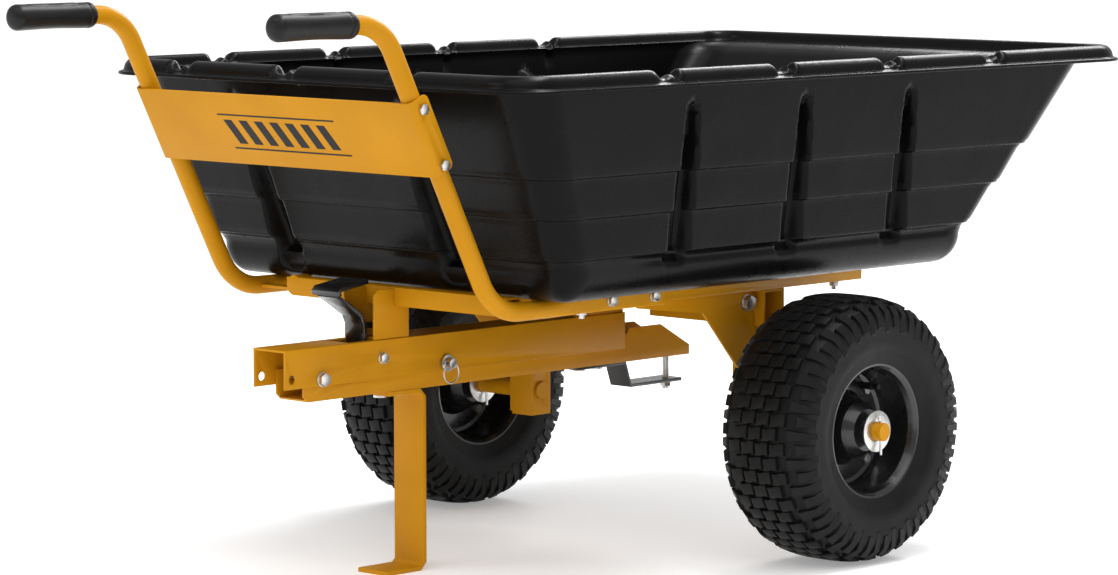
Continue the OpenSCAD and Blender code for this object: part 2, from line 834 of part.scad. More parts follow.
module tyre(side) {
    casing = 9;
    h = axle_z - tyre_mid_r;
    color(black) placed() on_side(side) about_x(wheel_x, 0, axle_z) difference() {
        polygon(tyre_section(h, tyre_w / 2));
        polygon(tyre_section(h - casing, tyre_w / 2 - casing));
        translate([0, -46]) square([tyre_mid_r - h + casing + 4, 92]);
    }
}

// Pressed half of the rim, from the hub out to the flange, drawn as (radius, offset from the middle)
half_rim = [[17.6, 46], [28, 45], [38, 32], [46, 8], [52, 1.4], [74, 1.4], [80, 4], [83, 12],
    [84, 50], [87, 56], [90.5, 60], [flange_r, 60.5]];

module half_rim_disc(side, out) {
    color("black") placed() on_side(side) translate([wheel_x, 0, axle_z]) mirror([out > 0 ? 0 : 1, 0, 0])
        difference() {
            rotate([0, 90, 0]) rotate_extrude($fn = 96) polygon(strip(half_rim, rim_t));
            for (a = [45:90:315]) rotate([a, 0, 0]) x_bar(4, -1, 4, 0, rim_bolt_r);
            if (out > 0) rotate([-35, 0, 0]) x_bar(5, -1, 60, 0, rim_bolt_r - 1);
        }
}

module rim_bolts(side) {
    color(zinc) placed() on_side(side) translate([wheel_x, 0, axle_z])
        for (a = [45:90:315]) rotate([a, 0, 0]) {
            x_bar(4, -2.7, 8, 0, rim_bolt_r);
            x_hex(12, 2.7, 7, 0, rim_bolt_r);
            x_hex(12, -7, -2.7, 0, rim_bolt_r);
        }
}

bush_r = 15;

module hub_tube(side) {
    color("black") placed() on_side(side) difference() {
        x_bar(17.5, wheel_x - hub_half + 2.5, wheel_x + hub_half - 2.5, 0, axle_z);
        x_bar(bush_r, wheel_x - hub_half, wheel_x + hub_half, 0, axle_z);
    }
}

module bushes(side) {
    length = 28;
    color("white") placed() on_side(side) for (s = [-1, 1]) difference() {
        union() {
            x_bar(bush_r, wheel_x + s * (hub_half - length / 2) - length / 2,
                wheel_x + s * (hub_half - length / 2) + length / 2, 0, axle_z);
            x_bar(18.5, wheel_x + s * (hub_half - 1.25) - 1.25,
                wheel_x + s * (hub_half - 1.25) + 1.25, 0, axle_z);
        }
        x_bar(axle_r + fit, wheel_x - 2 * hub_half, wheel_x + 2 * hub_half, 0, axle_z);
    }
}

module valve(side) {
    color(black) placed() on_side(side) translate([wheel_x, 0, axle_z]) rotate([-35, 0, 0]) {
        x_bar(5, 3, 24, 0, rim_bolt_r - 1);
        x_bar(3.6, 24, 34, 0, rim_bolt_r - 1);
    }
}

tub();
handle_tube(-1);  // right_handle_tube
handle_tube(1);  // left_handle_tube
grip(-1);  // right_grip
grip(1);  // left_grip
handle_panel();
panel_bolts();
side_rail(-1);  // right_side_rail
side_rail(1);  // left_side_rail
rail_bolts();
tub_bolts();
front_cross_member();
latch_bracket();
striker_pin();
axle_beam();
axle_bracket(-1);  // right_axle_bracket
axle_bracket(1);  // left_axle_bracket
stub_axle(-1);  // right_stub_axle
stub_axle(1);  // left_stub_axle
axle_washers();
cotter_pins();
pivot_bolts();
drawbar_sleeve();
pivot_beam();
beam_bolts();
latch_lever();
lever_bolt();
lever_spring();
fold_bolt();
lock_pin();
lock_ring();
drawbar();
hitch_bracket();
hitch_screws();
hitch_pin();
stand_leg();
leg_bolts();
tyre(-1);  // right_tyre
half_rim_disc(-1, 1);  // right_outer_rim
half_rim_disc(-1, -1);  // right_inner_rim
hub_tube(-1);  // right_hub_tube
bushes(-1);  // right_bushes
valve(-1);  // right_valve
rim_bolts(-1);  // right_rim_bolts
tyre(1);  // left_tyre
half_rim_disc(1, 1);  // left_outer_rim
half_rim_disc(1, -1);  // left_inner_rim
hub_tube(1);  // left_hub_tube
bushes(1);  // left_bushes
valve(1);  // left_valve
rim_bolts(1);  // left_rim_bolts
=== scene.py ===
"""Garden cart: a tipping plastic tub on a yellow steel frame, with turf tyres and a fold-out drawbar."""

import json
import math

import bmesh
import bpy
from mathutils import Matrix, Vector


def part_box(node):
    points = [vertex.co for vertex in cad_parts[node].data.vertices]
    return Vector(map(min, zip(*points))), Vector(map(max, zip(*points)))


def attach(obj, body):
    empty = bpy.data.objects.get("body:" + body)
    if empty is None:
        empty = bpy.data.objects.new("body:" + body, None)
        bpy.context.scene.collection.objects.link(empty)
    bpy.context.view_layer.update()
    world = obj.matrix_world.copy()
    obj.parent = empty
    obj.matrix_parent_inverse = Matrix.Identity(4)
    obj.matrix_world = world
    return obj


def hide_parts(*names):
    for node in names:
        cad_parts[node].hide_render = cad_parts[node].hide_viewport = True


MM = 0.001
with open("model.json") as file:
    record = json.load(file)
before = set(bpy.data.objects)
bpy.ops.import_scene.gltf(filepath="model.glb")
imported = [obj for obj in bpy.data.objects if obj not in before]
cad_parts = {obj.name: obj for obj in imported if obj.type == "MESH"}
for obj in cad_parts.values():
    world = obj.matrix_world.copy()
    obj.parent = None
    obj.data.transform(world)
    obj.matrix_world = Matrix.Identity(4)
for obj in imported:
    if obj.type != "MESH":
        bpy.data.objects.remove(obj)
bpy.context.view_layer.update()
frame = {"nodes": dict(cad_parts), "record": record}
NODE_BODY = {n: b for b, nodes in frame["record"]["behaviour"]["bodies"].items() for n in nodes}
NODE_SLOT = {s["node"]: s["material_slot"] for s in frame["record"]["subparts"]}


# ---------------------------------------------------------------- materials

class Nodes:
    """A material's node tree, with short calls for the nodes that repeat."""

    def __init__(self, name):
        self.material = bpy.data.materials.new(name)
        self.material.use_nodes = True
        self.tree = self.material.node_tree
        self.shader = self.tree.nodes["Principled BSDF"]
        self.place = self.tree.nodes.new("ShaderNodeTexCoord").outputs["Object"]

    def node(self, kind, **values):
        n = self.tree.nodes.new(kind)
        for key, value in values.items():
            if hasattr(n, key):
                setattr(n, key, value)
            else:
                n.inputs[key.replace("_", " ")].default_value = value
        return n

    def link(self, a, b):
        self.tree.links.new(a, b)

    def noise(self, scale, detail=3.0, roughness=0.5):
        n = self.node("ShaderNodeTexNoise", Scale=scale, Detail=detail, Roughness=roughness)
        self.link(self.place, n.inputs["Vector"])
        return n.outputs["Fac"]

    def cells(self, scale):
        n = self.node("ShaderNodeTexVoronoi", feature="F1", Scale=scale)
        self.link(self.place, n.inputs["Vector"])
        return n.outputs["Distance"]

    def ramp(self, fac, stops):
        n = self.node("ShaderNodeValToRGB")
        while len(n.color_ramp.elements) < len(stops):
            n.color_ramp.elements.new(0.5)
        for e, (at, colour) in zip(n.color_ramp.elements, stops):
            e.position = at
            e.color = (*colour, 1)
        self.link(fac, n.inputs["Fac"])
        return n.outputs["Color"]

    def span(self, fac, low, high):
        n = self.node("ShaderNodeMapRange", To_Min=low, To_Max=high)
        self.link(fac, n.inputs["Value"])
        return n.outputs["Result"]

    def math(self, operation, a, b):
        n = self.node("ShaderNodeMath", operation=operation)
        for value, socket in ((a, n.inputs[0]), (b, n.inputs[1])):
            if isinstance(value, float):
                socket.default_value = value
            else:
                self.link(value, socket)
        return n.outputs[0]

    def bump(self, height, distance, strength, normal=None):
        n = self.node("ShaderNodeBump", Strength=strength, Distance=distance)
        self.link(height, n.inputs["Height"])
        if normal is not None:
            self.link(normal, n.inputs["Normal"])
        return n.outputs["Normal"]

    def finish(self, colour=None, roughness=None, normal=None, **values):
        for name, value in (("Base Color", colour), ("Roughness", roughness), ("Normal", normal)):
            if value is not None:
                self.link(value, self.shader.inputs[name])
        for key, value in values.items():
            self.shader.inputs[key.replace("_", " ")].default_value = value
        return self.material


def paint(name, dark, light, rough, coat, shine):
    """Powder coat: slight cloudiness, slow waves, orange peel and finer specks in it."""
    m = Nodes(name)
    cloud = m.noise(9.0, 4.0)
    colour = m.ramp(cloud, [(0.3, dark), (0.7, light)])
    peel = m.noise(900.0, 2.0)
    speck = m.noise(3500.0, 1.0)
    waves = m.bump(m.noise(40.0, 2.0), 0.0005, 0.08)
    normal = m.bump(m.math("ADD", peel, m.math("MULTIPLY", speck, 0.4)), 0.00012, 0.35, waves)
    return m.finish(colour, m.span(m.noise(35.0, 5.0), rough - 0.05, rough + 0.07), normal,
                    Coat_Weight=coat, Coat_Roughness=0.12, Specular_IOR_Level=shine)


def tub_plastic():
    """Moulded polyethylene: fine pebble grain over slow waves, slightly scuffed."""
    m = Nodes("tub_plastic")
    colour = m.ramp(m.noise(6.0, 5.0), [(0.3, (0.0020, 0.0020, 0.0021)),
                                        (0.75, (0.0036, 0.0036, 0.0037))])
    grain = m.math("ADD", m.cells(620.0), m.math("MULTIPLY", m.noise(1400.0, 2.0), 0.5))
    slow = m.bump(m.noise(7.0, 2.0), 0.004, 0.5)
    normal = m.bump(grain, 0.00022, 0.28, slow)
    return m.finish(colour, m.span(m.noise(22.0, 6.0, 0.6), 0.22, 0.34), normal,
                    Specular_IOR_Level=0.10)


def zinc():
    """Bright zinc plate with faint yellow passivation and fine turning marks."""
    m = Nodes("zinc")
    colour = m.ramp(m.noise(80.0, 4.0), [(0.3, (0.50, 0.49, 0.46)), (0.55, (0.66, 0.66, 0.65)),
                                         (0.8, (0.70, 0.66, 0.55))])
    normal = m.bump(m.noise(1500.0, 3.0), 0.0001, 0.4)
    return m.finish(colour, m.span(m.noise(300.0, 3.0), 0.22, 0.42), normal, Metallic=1.0)


def tyre_rubber():
    """Tyre rubber: matt, a little bloom, with a fine moulded texture."""
    m = Nodes("tyre_rubber")
    colour = m.ramp(m.noise(30.0, 6.0, 0.65), [(0.3, (0.0035, 0.0035, 0.0035)),
                                               (0.75, (0.0090, 0.0090, 0.0087))])
    normal = m.bump(m.noise(2200.0, 3.0), 0.0002, 0.35, m.bump(m.noise(120.0, 3.0), 0.0005, 0.3))
    return m.finish(colour, m.span(m.noise(90.0, 4.0), 0.42, 0.60), normal,
                    Specular_IOR_Level=0.16)


def soft_black(name, light, rough, grain):
    """Soft black moulding with a fine grain; also the ink of the front plate's graphic."""
    m = Nodes(name)
    colour = m.ramp(m.noise(60.0, 4.0), [(0.3, (light * 0.7,) * 3), (0.75, (light * 1.25,) * 3)])
    normal = m.bump(m.cells(grain), 0.00018, 0.35)
    return m.finish(colour, m.span(m.noise(150.0, 3.0), rough - 0.05, rough + 0.08), normal,
                    Specular_IOR_Level=0.25)


def bush_plastic():
    """Natural nylon, slightly cloudy."""
    m = Nodes("bush_plastic")
    colour = m.ramp(m.noise(200.0, 3.0), [(0.3, (0.58, 0.56, 0.50)), (0.8, (0.70, 0.69, 0.64))])
    return m.finish(colour, m.span(m.noise(400.0), 0.35, 0.5), m.bump(m.noise(900.0), 0.0001, 0.3),
                    Subsurface_Weight=0.1)


def floor_material():
    """Pale studio floor with the faintest cloud, lit a little from within so that it reads white."""
    m = Nodes("studio_floor")
    colour = m.ramp(m.noise(0.8, 3.0), [(0.3, (0.91, 0.91, 0.91)), (0.7, (0.93, 0.93, 0.93))])
    return m.finish(colour, m.span(m.noise(3.0), 0.55, 0.65), None, Specular_IOR_Level=0.1,
                    Emission_Color=(1, 1, 1, 1), Emission_Strength=0.28)


MATERIALS = {
    "tub_plastic": tub_plastic(),
    "yellow_paint": paint("yellow_paint", (0.520, 0.228, 0.0050), (0.590, 0.262, 0.0065),
                          rough=0.36, coat=0.03, shine=0.08),
    "black_paint": paint("black_paint", (0.0060, 0.0060, 0.0063), (0.011, 0.011, 0.0115),
                         rough=0.26, coat=0.45, shine=0.4),
    "zinc": zinc(),
    "grip_plastic": soft_black("grip_plastic", light=0.007, rough=0.36, grain=1300.0),
    "tyre_rubber": tyre_rubber(),
    "valve_rubber": soft_black("valve_rubber", light=0.010, rough=0.55, grain=2500.0),
    "bush_plastic": bush_plastic(),
}
for node_name, obj in frame["nodes"].items():
    obj.data.materials.clear()
    obj.data.materials.append(MATERIALS[NODE_SLOT[node_name]])


# ---------------------------------------------------------------- mesh helpers

WELD = 2e-6             # metres: CAD vertices closer than this are one
SAME_PLANE_DEG = 0.6    # CAD facets that meet at less than this are merged
BEVEL_DEG = 35          # edges sharper than this are rounded
BEVEL_SEGMENTS = 2


def add_object(name, verts, faces, body, slot, smooth_deg=35.0):
    """New piece from vertices in metres, riding on its body."""
    mesh = bpy.data.meshes.new(name)
    mesh.from_pydata(verts, [], faces)
    mesh.validate()
    mesh.materials.append(MATERIALS[slot])
    obj = bpy.data.objects.new(name, mesh)
    bpy.context.scene.collection.objects.link(obj)
    shade(obj, smooth_deg)
    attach(obj, body)
    return obj


def shade(obj, degrees):
    """Smooth faces, with edges above the angle left sharp."""
    bm = bmesh.new()
    bm.from_mesh(obj.data)
    bmesh.ops.recalc_face_normals(bm, faces=bm.faces)
    limit = math.radians(degrees)
    for f in bm.faces:
        f.smooth = True
    for e in bm.edges:
        e.smooth = e.is_manifold and e.calc_face_angle(0.0) < limit
    bm.to_mesh(obj.data)
    bm.free()


def soften(node, width):
    """A copy of a CAD node with its edges rounded by width, shown in the node's place."""
    source = frame["nodes"][node]
    bm = bmesh.new()
    bm.from_mesh(source.data)
    bmesh.ops.remove_doubles(bm, verts=bm.verts, dist=WELD)
    bmesh.ops.dissolve_limit(bm, angle_limit=math.radians(SAME_PLANE_DEG), verts=bm.verts,
                             edges=bm.edges)
    mesh = bpy.data.meshes.new(node + "_soft")
    bm.to_mesh(mesh)
    bm.free()
    obj = bpy.data.objects.new(node + "_soft", mesh)
    bpy.context.scene.collection.objects.link(obj)
    mesh.materials.append(MATERIALS[NODE_SLOT[node]])
    for p in mesh.polygons:
        p.use_smooth = True
    mod = obj.modifiers.new("round", "BEVEL")
    mod.width = width * MM
    mod.segments = BEVEL_SEGMENTS
    mod.limit_method = "ANGLE"
    mod.angle_limit = math.radians(BEVEL_DEG)
    mod.harden_normals = True
    mod.use_clamp_overlap = True
    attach(obj, NODE_BODY[node])
    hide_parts(node)


def side_faces(rings, n, first=0):
    """Quads between neighbouring rings of n points each, numbered from first."""
    faces = []
    for j in range(rings - 1):
        for i in range(n):
            a, b = first + j * n + i, first + j * n + (i + 1) % n
            faces.append((a, b, b + n, a + n))
    return faces


def smoothstep(a, b, x):
    """0 up to a, 1 from b on, and an even curve between."""
    t = min(max((x - a) / (b - a), 0.0), 1.0)
    return t * t * (3 - 2 * t)


def mix(a, b, t):
    """The share t of the way from tuple a to tuple b."""
    return tuple(p + (q - p) * t for p, q in zip(a, b))


# ---------------------------------------------------------------- tub (millimetres)

TUB = [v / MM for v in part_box("tub")]
TUB_FLOOR = TUB[0].z
RIM_Z = TUB_FLOOR + 281    # the skirt's foot
RIM_LEVEL = (TUB[1].x, TUB[0].y, TUB[1].y, 72)
TYRE_LO, TYRE_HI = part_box("left_tyre")
AXLE_Y = TYRE_LO.y / MM + TYRE_HI.z / MM / 2
BEND = 44                  # radius round the floor's edge
FRONT_BEND = 34            # and its reach at the front, where it is tighter
BEND_STEPS, BEND_STEP_DEG = 9, 10
WALL_T = 4.5
# A plan level is (half width, front, rear, corner radius). Bands of the wall between the ledges: from
# height, to height, then the level at each, with front and rear measured from the axle along Y.
BANDS = [
    (431, 445, (345, -506, 325, 40), (348, -515, 329, 40)),
    (445, 500, (355, -522, 336, 44), (357, -540, 386, 42)),
    (500, 554, (364, -547, 393, 46), (367, -567, 441, 46)),
    (554, 668, (374, -574, 448, 50), (382, -618, 562, 60)),
]
BAND_STEP = 6              # height between the rings of a band
BAND_MIN_STEPS = 4
# How a ledge turns from one band to the next: height from the ledge, and share of the step made there
LEDGE_CURVE = [(-2.5, 0.0), (-0.8, 0.05), (-0.1, 0.25), (0.25, 0.6), (0.9, 0.86), (1.9, 0.98),
               (3.4, 1.0)]
MIN_CORNER = 8
CREASE_Z = 432

# Grooves: centre at the top and at the bottom, along Y from the axle on the sides, along X at the front
SIDE_GROOVES = [(-305, -306), (-77, -79), (146, 145)]
FRONT_GROOVES = [(-186, -186), (132, 132)]
GROOVE_TOP = 646
GROOVE_CAP = 12            # height over which the top end is rounded
GROOVE_HALF = 12           # half width at the top
GROOVE_WIDENS = 13         # added to it towards the bottom
GROOVE_FLARE = 0.8
GROOVE_FLOOR_SHARE = 0.42  # share of the half width that is flat floor
FRONT_FOOT = 402
FOOT_FADE = (-8, 22)       # heights from the groove's foot over which it comes in
# Reach of the grooves' floors from the middle and from the axle, at the crease and at the groove's top
SIDE_LINE = (330, 364)
FRONT_LINE = (490, 594)

# The shallow hollow under the lowest side ledge: where it fades in and out along Y and up the wall
HOLLOW_DEPTH = 2.6
HOLLOW_RISE = 2.5
HOLLOW_IN, HOLLOW_OUT = (-400, -330), (265, 290)
HOLLOW_TOP = (441, 444.5)

# Rim notches by side, with the small web in each and the pocket it makes in the wall behind it
NOTCHES = {
    "left": [-375, -143, 80, 307],
    "right": [-456, -236, -14, 205],
    "front": [-252, -42, 180],
    "rear": [],
}
NOTCH_HALF, NOTCH_EDGE = 27.0, 9.0
WEB_AT = 7.0
WEB_HALF = 4.0
WEB_SHARE = 0.55
POCKET_HALF, POCKET_EDGE = 11.0, 4.0
POCKET_DEPTH = 4.0
POCKET_SINK = 0.5          # share of its depth by which it also sinks the throat
POCKET_FADE = (648, 655)
NOTCH_KEEPS = 7.0          # height of the rim that a notch leaves
NOTCH_DROP = 0.72          # share of the rest that it takes away
BEAD_MIDDLE = 20.5
NOTCH_PINCH = 0.22         # share by which it draws the bead to its middle

# From the bead's inner foot to the inner wall: share of the way, and how far it has dropped
THROAT = [(0.0, 0.0), (0.35, 1.5), (0.7, 4.5), (0.9, 8.5)]
THROAT_INSET = 36
THROAT_RISE = 7.4
INNER_TOP_GAP = 5
LEVEL_GAP = 0.1
UNDER_INSET = 6            # the skirt's inner edge, where the rim's underside ends
UNDER_SHARES = (0.0, 0.5, 1.0)
UNDER_FIRST = 0.06
UNDER_RISE = 0.2
FLOOR_SHARES = (0.12, 0.35, 0.65, 0.9)
FLOOR_MIDDLE = 30


def to_frame(level):
    """A band level with its Y moved from the axle to the frame."""
    return (level[0], level[1] + AXLE_Y, level[2] + AXLE_Y, level[3])


def floor_bend(t):
    """Levels up the floor's rounded edge, on a surface t inside the outer one."""
    base = to_frame(BANDS[0][2])
    r = BEND - t
    levels = []
    for k in range(BEND_STEPS):
        a = math.radians(k * BEND_STEP_DEG)
        z = TUB_FLOOR + t + r * (1 - math.cos(a))
        levels.append((z, inset(bent(base, r, FRONT_BEND - t, 1 - math.sin(a)), t)))
    return levels


def wall_levels():
    """Heights up the outer wall with their plan levels: floor bend, bands and rounded ledges."""
    levels = floor_bend(0)
    last = len(BANDS) - 1
    for i, (z0, z1, low, high) in enumerate(BANDS):
        low, high = to_frame(low), to_frame(high)
        steps = max(BAND_MIN_STEPS, round((z1 - z0) / BAND_STEP))
        for k in range(steps + 1):
            if (i > 0 and k == 0) or (i < last and k == steps):
                continue
            t = k / steps
            levels.append((z0 + (z1 - z0) * t, mix(low, high, t)))
        if i < last:
            above = to_frame(BANDS[i + 1][2])
            levels += [(z1 + dz, mix(high, above, f)) for dz, f in LEDGE_CURVE]
    levels.sort(key=lambda v: v[0])
    return levels


def inset(level, d):
    """A plan level moved inwards all round."""
    x, y0, y1, r = level
    return (x - d, y0 + d, y1 - d, max(r - d, MIN_CORNER))


def bent(base, side, front, share):
    """The lowest wall level drawn in for the floor's rounded edge, which is tighter at the front."""
    x, y0, y1, r = base
    return (x - side * share, y0 + front * share, y1 - side * share,
            max(r - side * share, MIN_CORNER))


# Points along a long side and along the front: before, across and after the stretch with the grooves
SIDE_COUNTS = (40, 215, 85)
SIDE_SPAN = (-360, 200)
FRONT_COUNTS = (40, 120, 40)
FRONT_SPAN = (-220, 170)
END_STEPS = 200
CORNER_STEPS = 18
SPAN_ROOM = 5    # the least room between that stretch and a corner


def spread(a, b, span, counts):
    """Places from a up to b, the same at every level across the span, so that grooves run true."""
    low, high = span
    if a > low - SPAN_ROOM or b < high + SPAN_ROOM:
        n = sum(counts)
        return [a + (b - a) * k / n for k in range(n)]
    out = []
    for p, q, n in ((a, low, counts[0]), (low, high, counts[1]), (high, b, counts[2])):
        out += [p + (q - p) * k / n for k in range(n)]
    return out


def plan_ring(level):
    """Points round a rounded rectangle: x, y, inward normal, side and place along that side."""
    x, y0, y1, r = level
    side_span = (SIDE_SPAN[0] + AXLE_Y, SIDE_SPAN[1] + AXLE_Y)
    up = spread(y0 + r, y1 - r, side_span, SIDE_COUNTS)
    out = [(x, y, (-1, 0), "left", y) for y in up]
    out += corner(x - r, y1 - r, r, 0)
    for k in range(END_STEPS):
        u = x - r - 2 * (x - r) * k / END_STEPS
        out.append((u, y1, (0, -1), "rear", u))
    out += corner(r - x, y1 - r, r, 90)
    out += [(-x, y, (1, 0), "right", y) for y in [y1 - r] + up[:0:-1]]
    out += corner(r - x, y0 + r, r, 180)
    out += [(u, y0, (0, 1), "front", u) for u in spread(r - x, x - r, FRONT_SPAN, FRONT_COUNTS)]
    out += corner(x - r, y0 + r, r, 270)
    return out


def corner(cx, cy, r, start):
    """The quarter turn of a plan ring from an angle in degrees."""
    out = []
    for k in range(CORNER_STEPS):
        a = math.radians(start + 90 * k / CORNER_STEPS)
        c, q = math.cos(a), math.sin(a)
        out.append((cx + r * c, cy + r * q, (-c, -q), "corner", 0))
    return out


def groove_depth(side, along, z, level):
    """How far a groove pulls the wall in at this place: a channel with a straight floor, wider below."""
    if side in ("left", "right"):
        grooves, shift, line, reach, low = SIDE_GROOVES, AXLE_Y, SIDE_LINE, level[0], CREASE_Z
    elif side == "front":
        reach = AXLE_Y - level[1]
        grooves, shift, line, low = FRONT_GROOVES, 0, FRONT_LINE, FRONT_FOOT
    else:
        return 0.0
    up = (z - CREASE_Z) / (GROOVE_TOP - CREASE_Z)
    depth = reach - (line[0] + (line[1] - line[0]) * up)
    t = min(max(1 - up, 0.0), 1.0)
    half = GROOVE_HALF + GROOVE_WIDENS * t ** GROOVE_FLARE
    foot = smoothstep(low + FOOT_FADE[0], low + FOOT_FADE[1], z)
    best = 0.0
    for top, bottom in grooves:
        s = abs(along - (top + (bottom - top) * t + shift))
        over = z - (GROOVE_TOP - GROOVE_CAP)
        if over > 0:
            s = math.hypot(s, over)
        best = max(best, 1 - smoothstep(half * GROOVE_FLOOR_SHARE, half, s))
    return max(depth, 0.0) * best * foot


def foot_shape(side, along, z):
    """How deep the hollow under the lowest side ledge is at this place."""
    if side not in ("left", "right"):
        return 0.0
    place = along - AXLE_Y
    run = smoothstep(*HOLLOW_IN, place) * (1 - smoothstep(*HOLLOW_OUT, place))
    rise = smoothstep(CREASE_Z, CREASE_Z + HOLLOW_RISE, z)
    return HOLLOW_DEPTH * rise * (1 - smoothstep(*HOLLOW_TOP, z)) * run


def notch(side, along, half=NOTCH_HALF, edge=NOTCH_EDGE):
    """1 in the middle of a rim notch, 0 on the bead, with rounded bead ends and a small web between."""
    if side not in NOTCHES:
        return 0.0
    shift = AXLE_Y if side in ("left", "right") else 0
    worst = 0.0
    for centre in NOTCHES[side]:
        s = along - centre - shift
        t = min(max((abs(s) - half + edge) / edge, 0.0), 1.0)
        web = WEB_SHARE * math.exp(-((s - WEB_AT) / WEB_HALF) ** 2)
        worst = max(worst, (1 - math.sqrt(max(0.0, 1 - (1 - t) ** 2))) * (1 - web))
    return worst


def pocket_depth(side, along):
    """How far a notch presses outwards into the wall behind it."""
    return notch(side, along, POCKET_HALF, POCKET_EDGE) * POCKET_DEPTH


# Rim section: shift inwards from the skirt's edge, height over its foot, and 1 where it is bead
RIM_SECTION = [
    (3.5, 0.0, 0), (0.8, 0.2, 0), (0.0, 1.2, 0), (0.3, 3.4, 0), (1.6, 4.6, 0), (4.0, 5.2, 0),
    (6.5, 5.8, 0), (7.6, 7.5, 1), (8.2, 10.5, 1), (9.4, 14.2, 1), (11.8, 17.8, 1), (15.2, 20.8, 1),
    (19.2, 22.6, 1), (23.0, 23.0, 1), (26.6, 22.2, 1), (29.6, 19.8, 1), (31.6, 16.4, 1),
    (32.8, 12.4, 1), (34.0, 9.0, 1),
]


def rim_rings():
    """The rim from its skirt over the bead, with the bead let down at each notch."""
    rings = []
    for d, h, bead in RIM_SECTION:
        ring = []
        for x, y, n, side, along in plan_ring(inset(RIM_LEVEL, d)):
            cut = notch(side, along) * bead
            z = RIM_Z + h - cut * max(0.0, h - NOTCH_KEEPS) * NOTCH_DROP
            pull = cut * (BEAD_MIDDLE - d) * NOTCH_PINCH
            ring.append((x + n[0] * pull, y + n[1] * pull, z))
        rings.append(ring)
    return rings


def throat_rings(inner_top):
    """From the bead's inner foot to the top of the inner wall."""
    outer = plan_ring(inset(RIM_LEVEL, THROAT_INSET))
    wall = plan_ring(inner_top)
    rings = []
    for t, drop in THROAT:
        ring = []
        for a, b in zip(outer, wall):
            pocket = pocket_depth(a[3], a[4])
            x, y = mix(a[:2], b[:2], t)
            ring.append((x - a[2][0] * pocket * t, y - a[2][1] * pocket * t,
                         RIM_Z + THROAT_RISE - drop - pocket * POCKET_SINK))
        rings.append(ring)
    return rings


def wall_rings(levels, offset):
    """The wall's rings, grooves and hollow included, moved inwards by offset."""
    rings = []
    for z, level in levels:
        ring = []
        for x, y, n, side, along in plan_ring(inset(level, offset)):
            d = groove_depth(side, along, z, level) + foot_shape(side, along, z)
            if offset:
                d -= pocket_depth(side, along) * smoothstep(*POCKET_FADE, z)
            ring.append((x + n[0] * d, y + n[1] * d, z))
        rings.append(ring)
    return rings


def flat_ring(level, z):
    """A plan ring at one height."""
    return [(p[0], p[1], z) for p in plan_ring(level)]


def floor_rings(level, z):
    """Rings that close the floor towards its middle."""
    return [flat_ring(inset(level, share * (level[0] - FLOOR_MIDDLE)), z) for share in FLOOR_SHARES]


def inner_levels(levels):
    """Levels up the inner wall's upright part."""
    return [v for v in levels if TUB_FLOOR + BEND + LEVEL_GAP < v[0] < RIM_Z - INNER_TOP_GAP]


def under_rings(level):
    """The rim's underside, from the wall's top out to the skirt."""
    wall = plan_ring(level)
    skirt = plan_ring(inset(RIM_LEVEL, UNDER_INSET))
    rings = []
    for t in UNDER_SHARES:
        share = UNDER_FIRST + (1 - UNDER_FIRST) * t
        rings.append([(*mix(a[:2], b[:2], share), RIM_Z + UNDER_RISE) for a, b in zip(wall, skirt)])
    return rings


def tub():
    """One closed shell: floor, outer wall, rim, inner wall and inner floor."""
    levels = wall_levels()
    top = levels[-1][1]
    bend = floor_bend(WALL_T)
    rings = floor_rings(levels[0][1], TUB_FLOOR)[::-1] + wall_rings(levels, 0)
    rings += under_rings(top) + rim_rings() + throat_rings(inset(top, WALL_T))
    rings += wall_rings(inner_levels(levels), WALL_T)[::-1]
    rings += [flat_ring(level, z) for z, level in bend][::-1]
    rings += floor_rings(bend[0][1], TUB_FLOOR + WALL_T)
    verts = [(x * MM, y * MM, z * MM) for ring in rings for x, y, z in ring]
    n = len(rings[0])
    last = (len(rings) - 1) * n
    faces = [tuple(range(n))[::-1], *side_faces(len(rings), n), tuple(range(last, last + n))]
    obj = add_object("tub_shell", verts, faces, "bed", "tub_plastic", smooth_deg=50.0)
    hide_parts("tub")


# ---------------------------------------------------------------- tyres

TYRE_R = (TYRE_HI.z - TYRE_LO.z) / MM / 2
TYRE_HALF = (TYRE_HI.x - TYRE_LO.x) / MM / 2
MID_R = 135                # radius at which the section is widest
SECTION_POWER = 0.62       # squareness of the section; 1 is an ellipse
NARROWING = 0.3            # share of a drop that is also taken off the width
LUG = 6.0                  # depth of the tread
LINER = 4                  # thickness of the carcass under the tread
ROWS = 56
ARC_DEG, ARC_PER_DEG = 135, 4
NORMAL_REACH = 3           # entries of the arc table to each side that a normal is taken over


def section_point(a, drop):
    """Point (radius, offset) on the tyre's section at an angle from the crown, drop inside the tread."""
    h = TYRE_R - MID_R - drop
    c, s = math.cos(a), math.sin(a)
    return (MID_R + h * math.copysign(abs(c) ** SECTION_POWER, c),
            (TYRE_HALF - drop * NARROWING) * math.copysign(abs(s) ** SECTION_POWER, s))


def arc_table():
    """Arc length from the crown along the casing, with the point there."""
    table, length, before = [], 0.0, None
    for k in range(ARC_DEG * ARC_PER_DEG + 1):
        a = math.radians(k / ARC_PER_DEG)
        p = section_point(a, LUG)
        if before is not None:
            length += math.dist(p, before)
        before = p
        table.append((length, p))
    return table


ARC = arc_table()


